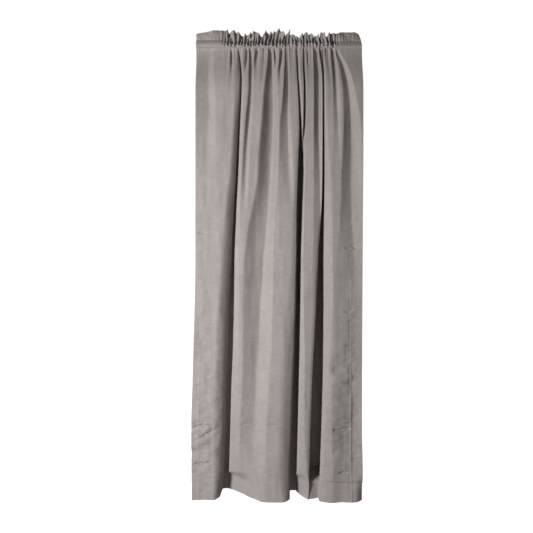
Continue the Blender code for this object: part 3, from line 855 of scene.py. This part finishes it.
# ---- The stitches --------------------------------------------------------------------------------
# Lockstitch in a matching polyester thread, 3.2 mm a stitch: two rows close the pocket, one holds the
# bottom hem and one each side hem. Each stitch is a short piece of thread, sunk a little into the cloth.

STITCH_PITCH = 0.0032
STITCH_LONG = 0.0025
THREAD = 0.00045
FACE_HALF = CLOTH_THICKNESS / 2
QUARTER_TURN = 1.5708


def thread_material():
    """Slightly glossy twisted thread, in the cloth's colours."""
    material = bpy.data.materials.new("sewing_thread")
    material.use_nodes = True
    tree = material.node_tree
    shader = tree.nodes["Principled BSDF"]
    place = node(tree, "ShaderNodeTexCoord").outputs["Object"]
    noise = node(tree, "ShaderNodeTexNoise", Vector=place, Scale=900.0, Detail=2.0).outputs["Fac"]
    colour = node(tree, "ShaderNodeMix", {"data_type": "RGBA"}, Factor=noise, i6=(0.33, 0.29, 0.275, 1),
                  i7=(0.56, 0.51, 0.49, 1))
    tree.links.new(colour.outputs[2], shader.inputs["Base Color"])
    bump = node(tree, "ShaderNodeBump", Height=noise, Distance=0.0001, Strength=0.5)
    tree.links.new(bump.outputs[0], shader.inputs["Normal"])
    shader.inputs["Roughness"].default_value = 0.55
    return material


sewing_thread = thread_material()


def thread_bead():
    """The points and faces of one stitch: a short round piece of thread with pointed ends, along X."""
    bm = bmesh.new()
    along_x = mathutils.Matrix.Rotation(QUARTER_TURN, 4, "Y")
    bmesh.ops.create_uvsphere(bm, u_segments=6, v_segments=5, radius=0.5, matrix=along_x)
    points = np.array([vert.co for vert in bm.verts])
    # sorted, because the operator lists its faces in another order each time
    faces = sorted([vert.index for vert in face.verts] for face in bm.faces)
    bm.free()
    return points, faces


BEAD, BEAD_FACES = thread_bead()


def stitch_row(name, line, normals):
    """Stitches along a line of points on the cloth's face. Returns the object, how far along the line each
    of the line's points is, and how far along it each stitch is."""
    run = np.concatenate([[0], np.cumsum(np.linalg.norm(np.diff(line, axis=0), axis=1))])
    places = np.arange(STITCH_PITCH, run[-1] - STITCH_PITCH / 2, STITCH_PITCH)

    def read(values, at):
        return np.stack([np.interp(at, run, column) for column in np.asarray(values).T], axis=1)

    middle, out = read(line, places), read(normals, places)
    way = read(line, places + STITCH_LONG / 2) - read(line, places - STITCH_LONG / 2)
    way /= np.linalg.norm(way, axis=1, keepdims=True)
    side = np.cross(out, way)
    side /= np.linalg.norm(side, axis=1, keepdims=True)
    up = np.cross(way, side)
    middle = middle + up * (FACE_HALF + THREAD * 0.15)
    long, wide = BEAD[:, :1] * STITCH_LONG, BEAD[:, 1:] * THREAD
    points = middle[:, None] + long * way[:, None] + wide[:, :1] * side[:, None] + wide[:, 1:] * up[:, None]
    mesh = bpy.data.meshes.new(name)
    firsts = range(0, len(places) * len(BEAD), len(BEAD))
    faces = [[first + index for index in face] for first in firsts for face in BEAD_FACES]
    mesh.from_pydata(points.reshape(-1, 3).tolist(), [], faces)
    mesh.shade_smooth()
    mesh.materials.append(sewing_thread)
    obj = bpy.data.objects.new(name, mesh)
    bpy.context.scene.collection.objects.link(obj)
    return obj, run, places


def bent_stitches(name, side, line, normals, shares, *nodes):
    """A row of stitches along a line on the cloth, with the given parts of the frame hidden."""
    obj, run, places = stitch_row(name, line, normals)
    bend_across(obj, np.repeat(np.interp(places, run, shares), len(BEAD)))
    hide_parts(*nodes)


hem_line = -sum(corner.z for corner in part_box("hem_seam_wide_fold")) / 2
# the hem's line and a row on each side of it, for its normals
line_points, line_normals, line_run = hung_cloth(np.array([hem_line - 0.002, hem_line, hem_line + 0.002]))
# the rows of the heading's strip that are sewn above and below the rod
SEWN_ROWS = (("heading", len(ROUND_THE_ROD)), ("pocket", 1))
for side, (first, last, body, next_body, stations) in PIECES.items():
    here = slice(first, last + 1)
    stretches = [next_body] + ([body] if side == "left" else [])
    shares = share_across(line_points[:, here], line_run[:, here], stations)[1]
    bent_stitches(f"hem_stitches_{side}", side, line_points[1, here], line_normals[1, here], shares,
                  *[f"hem_seam_{stretch}" for stretch in stretches])
    points, heading_shares = heading_seam_lines[side]
    normals = outward(points[::-1])[::-1]
    for word, row in SEWN_ROWS:
        bent_stitches(f"{word}_stitches_{side}", side, points[row], normals[row], heading_shares[row],
                      *[f"{word}_seam_{stretch}" for stretch in stretches])
for side, column in side_seam_columns.items():
    body = SIDE_HEMS[side][1]
    line, normals = cloth_points[side_rows, column], cloth_normals[side_rows, column]
    stitches, _, _ = stitch_row(f"{side}_side_stitches", line, normals)
    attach(stitches, body)
    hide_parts(f"{side}_side_seam")


# ---- Floor, backdrop, lights and camera ----------------------------------------------------------
# A plain white studio: a floor, a soft key from the room's left, a weak fill, a light for the panel's back,
# and the camera that looks straight at the panel from half way up it.

def stage_material(name, shade, glow):
    """A pale surface that looks evenly white, and throws little light back."""
    material = bpy.data.materials.new(name)
    material.use_nodes = True
    tree = material.node_tree
    shader = tree.nodes["Principled BSDF"]
    shader.inputs["Base Color"].default_value = (shade, shade, shade, 1)
    shader.inputs["Roughness"].default_value = 0.9
    shader.inputs["Emission Color"].default_value = (1, 1, 1, 1)
    seen = node(tree, "ShaderNodeLightPath").outputs["Is Camera Ray"]
    tree.links.new(math_node(tree, "MULTIPLY", seen, glow), shader.inputs["Emission Strength"])
    return material


bm = bmesh.new()
bmesh.ops.create_grid(bm, x_segments=1, y_segments=1, size=12)
bmesh.ops.translate(bm, verts=bm.verts, vec=(0, 0, -HEM_EDGE - 0.05))
floor_mesh = bpy.data.meshes.new("floor")
bm.to_mesh(floor_mesh)
bm.free()
floor_mesh.materials.append(stage_material("white_floor", 0.35, 1.08))
floor = bpy.data.objects.new("floor", floor_mesh)
bpy.context.scene.collection.objects.link(floor)


def soft_light(name, place, towards, size, power):
    """A rectangular light that faces a point, and that itself stays out of the picture."""
    light = bpy.data.lights.new(name, "AREA")
    light.shape = "RECTANGLE"
    light.size, light.size_y = size
    light.energy = power
    obj = bpy.data.objects.new(name, light)
    obj.location = place
    direction = mathutils.Vector(towards) - mathutils.Vector(place)
    obj.rotation_mode = "QUATERNION"
    obj.rotation_quaternion = direction.to_track_quat("-Z", "Y")
    obj.visible_camera = False
    bpy.context.scene.collection.objects.link(obj)


soft_light("key", (-1.65, -1.95, -1.02), (0, 0, -1.15), (0.5, 1.0), 74)
soft_light("fill", (0.9, -2.8, -0.9), (0, 0, -1.1), (1.2, 1.6), 1.5)
soft_light("behind", (0.9, 2.6, -0.9), (0, 0, -1.1), (1.2, 1.6), 16)

world = bpy.data.worlds.new("studio")
bpy.context.scene.world = world
world.use_nodes = True
tree = world.node_tree
background = tree.nodes["Background"]
background.inputs["Color"].default_value = (1, 1, 1, 1)
# white to look at, but dim as a light
seen = node(tree, "ShaderNodeLightPath").outputs["Is Camera Ray"]
strength = math_node(tree, "ADD", math_node(tree, "MULTIPLY", seen, 0.98), 0.04)
tree.links.new(strength, background.inputs["Strength"])

camera = bpy.data.cameras.new("camera")
camera.lens = 27.22
camera.sensor_width = 36
camera_object = bpy.data.objects.new("camera", camera)
camera_object.location = (-0.056, FACE_PLANE - 1.8, -1.016)
camera_object.rotation_euler = (math.radians(90), 0, 0)
bpy.context.scene.collection.objects.link(camera_object)
bpy.context.scene.camera = camera_object
bpy.context.scene.view_settings.view_transform = "Standard"
